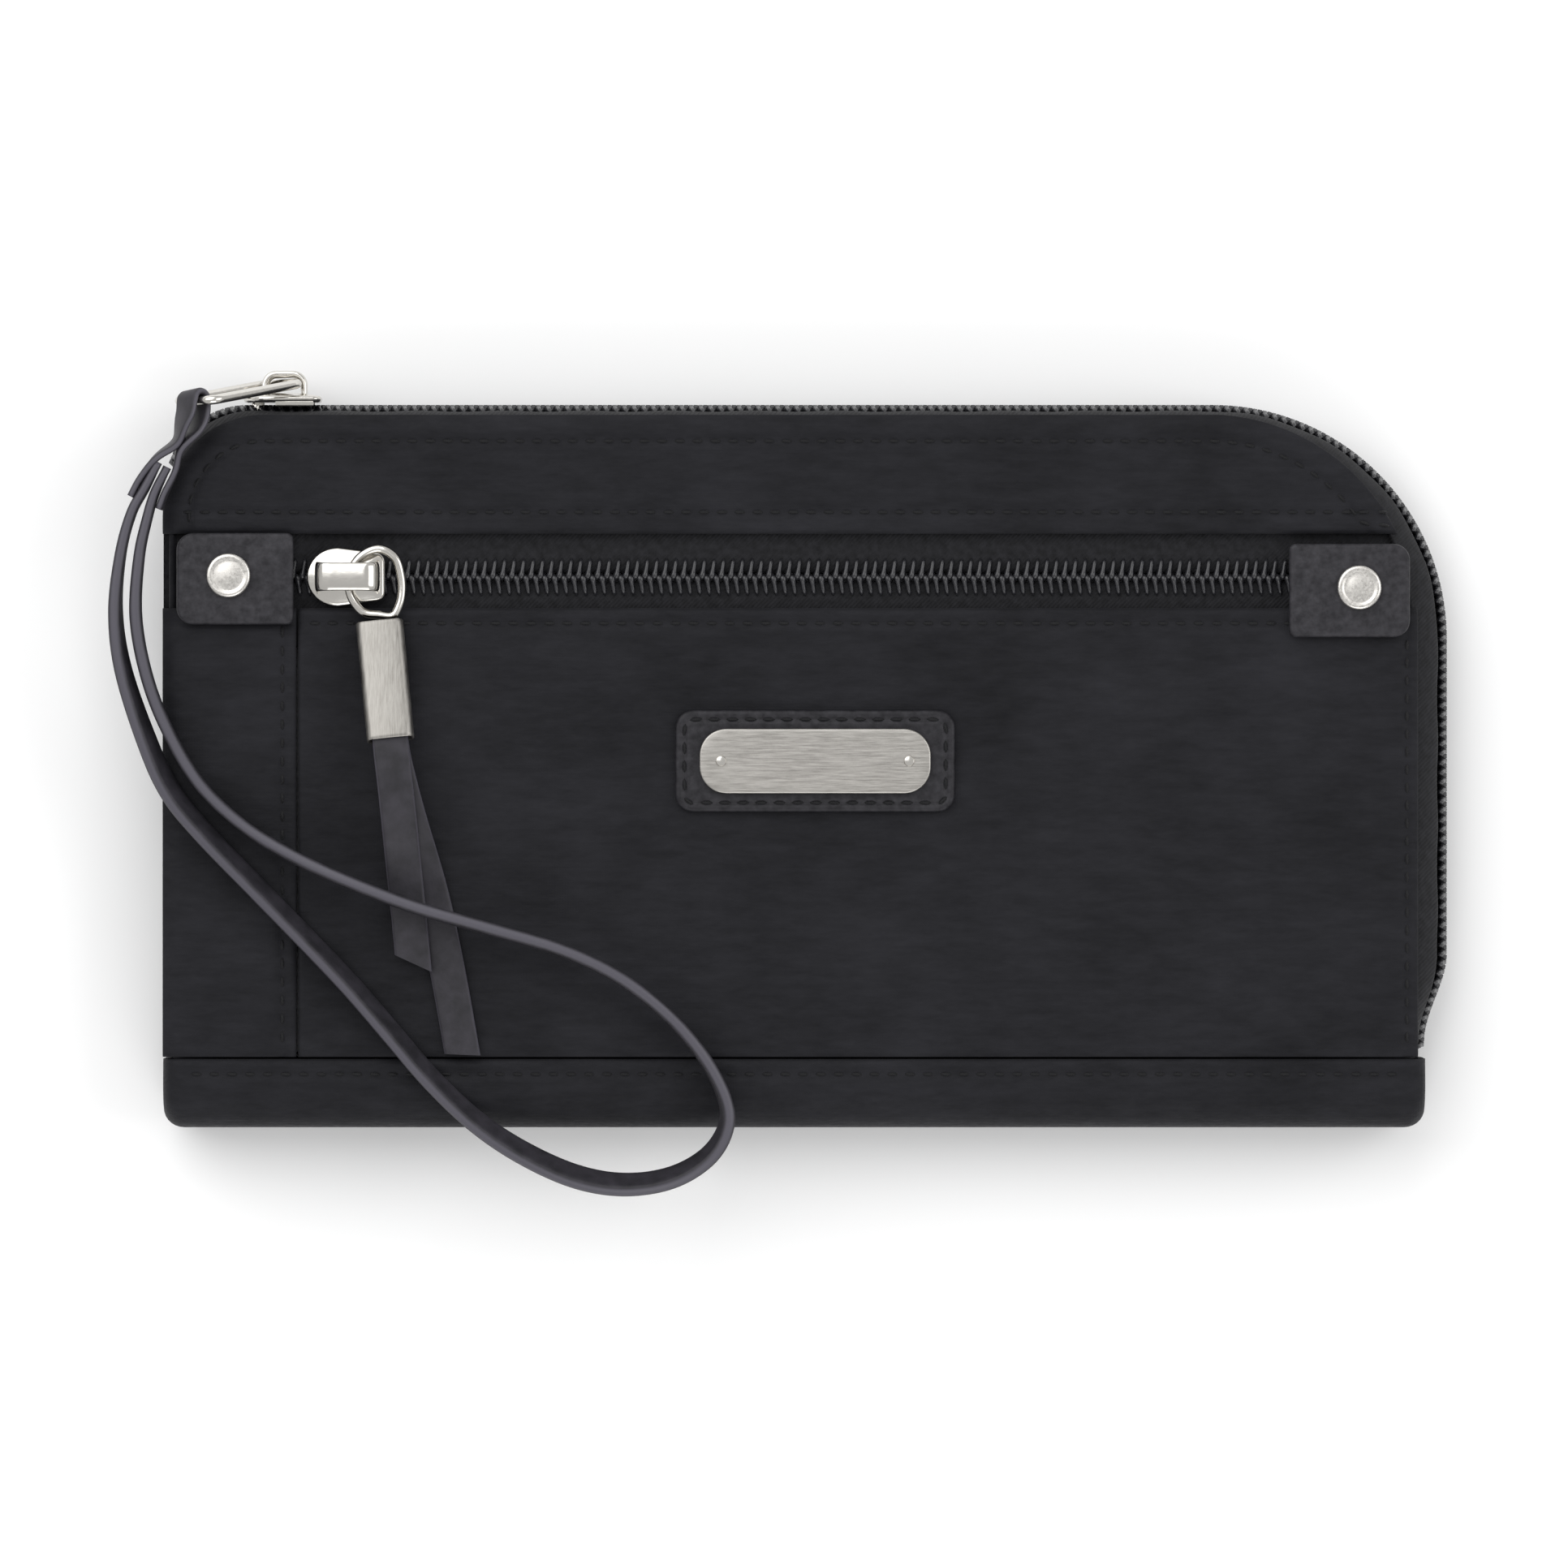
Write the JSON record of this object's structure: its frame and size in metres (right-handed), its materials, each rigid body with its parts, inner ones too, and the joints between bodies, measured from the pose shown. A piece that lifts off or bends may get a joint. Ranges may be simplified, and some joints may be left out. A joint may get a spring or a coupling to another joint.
{
  "type": "zippered pouch",
  "caption": "Flat zip-around fabric pouch with a zipped front pocket, leather trim, a tassel pull and a leather wrist strap.",
  "frame": {"origin": "middle of the flat back face that the pouch rests on", "axes": "+X along the pouch's length, with the strap and the tassel towards -X; +Y across it, towards the zipped top edge; +Z out of the front face"},
  "size_m": [0.2108, 0.1301, 0.0284],
  "materials": {
    "black_nylon": "crinkled matt nylon weave",
    "grey_lining": "plain lining cloth",
    "foam": "thin foam padding",
    "zip_tape": "black woven zipper tape",
    "zip_coil": "black nylon coil",
    "black_leather": "black pebbled leather",
    "nickel": "nickel plate, polished or brushed"
  },
  "bodies": {
    "back_shell": {"back_panel": "black_nylon", "back_padding": "foam", "back_lining": "grey_lining", "card_slot_left_1": "grey_lining", "card_slot_left_2": "grey_lining", "card_slot_left_3": "grey_lining", "card_slot_right_1": "grey_lining", "card_slot_right_2": "grey_lining", "card_slot_right_3": "grey_lining", "main_zip_tape_back": "zip_tape", "main_zip_coil_back": "zip_coil", "left_gusset": "black_nylon", "bottom_band": "black_nylon", "zip_end_tab": "black_nylon"},
    "front_cover": {"upper_panel": "black_nylon", "pocket_panel": "black_nylon", "left_panel": "black_nylon", "pocket_zip_tape_upper": "zip_tape", "pocket_zip_tape_lower": "zip_tape", "pocket_zip_coil_upper": "zip_coil", "pocket_zip_coil_lower": "zip_coil", "left_tab": "black_leather", "left_rivet": "nickel", "left_rivet_washer": "nickel", "right_tab": "black_leather", "right_rivet": "nickel", "right_rivet_washer": "nickel", "name_patch": "black_leather", "nameplate": "nickel", "nameplate_pin_left": "nickel", "nameplate_pin_right": "nickel", "pocket_bag": "grey_lining", "front_lining": "grey_lining", "main_zip_tape_front": "zip_tape", "main_zip_coil_front": "zip_coil"},
    "main_slider": {"main_slider_body": "nickel", "main_slider_crown": "nickel"},
    "main_ring": {"main_ring": "nickel"},
    "wrist_strap": {"strap_tab": "black_leather", "wrist_strap": "black_leather"},
    "pocket_slider": {"pocket_slider_body": "nickel", "pocket_slider_crown": "nickel"},
    "pocket_ring": {"pocket_ring": "nickel"},
    "tassel": {"ferrule": "nickel", "lace_front": "black_leather", "lace_back": "black_leather"}
  },
  "joints": [
    {"name": "cover_open", "type": "hinge", "parent": "back_shell", "child": "front_cover", "pos_m": [0, -0.0465, 0.02], "axis": [1, 0, 0], "range_deg": [0, 30], "deforming": ["left_gusset"]},
    {"name": "main_slide", "type": "slide", "parent": "front_cover", "child": "main_slider", "axis": [1, 0, 0], "range_m": [0, 0.138], "deforming": ["wrist_strap"]},
    {"name": "main_ring_swing", "type": "hinge", "parent": "main_slider", "child": "main_ring", "pos_m": [-0.083, 0.0601, 0.01], "axis": [-0.694, 0, -0.72], "range_deg": [0, 95]},
    {"name": "strap_swing", "type": "hinge", "parent": "main_ring", "child": "wrist_strap", "pos_m": [-0.0965, 0.05706, 0.023], "axis": [-0.694, 0, -0.72], "range_deg": [0, 10]},
    {"name": "pocket_slide", "type": "slide", "parent": "front_cover", "child": "pocket_slider", "axis": [1, 0, 0], "range_m": [0, 0.132]},
    {"name": "pocket_ring_swivel", "type": "hinge", "parent": "pocket_slider", "child": "pocket_ring", "pos_m": [-0.0712, 0.0294, 0.022], "axis": [0, 0, 1], "range_deg": [-2, 15]},
    {"name": "tassel_lift", "type": "hinge", "parent": "pocket_ring", "child": "tassel", "pos_m": [-0.06745, 0.0234, 0.022], "axis": [-0.9949, -0.101, 0], "range_deg": [0, 90]}
  ],
  "couplings": [
    {"joint": "strap_swing", "follows": "cover_open", "ratio": 0.3333}
  ]
}
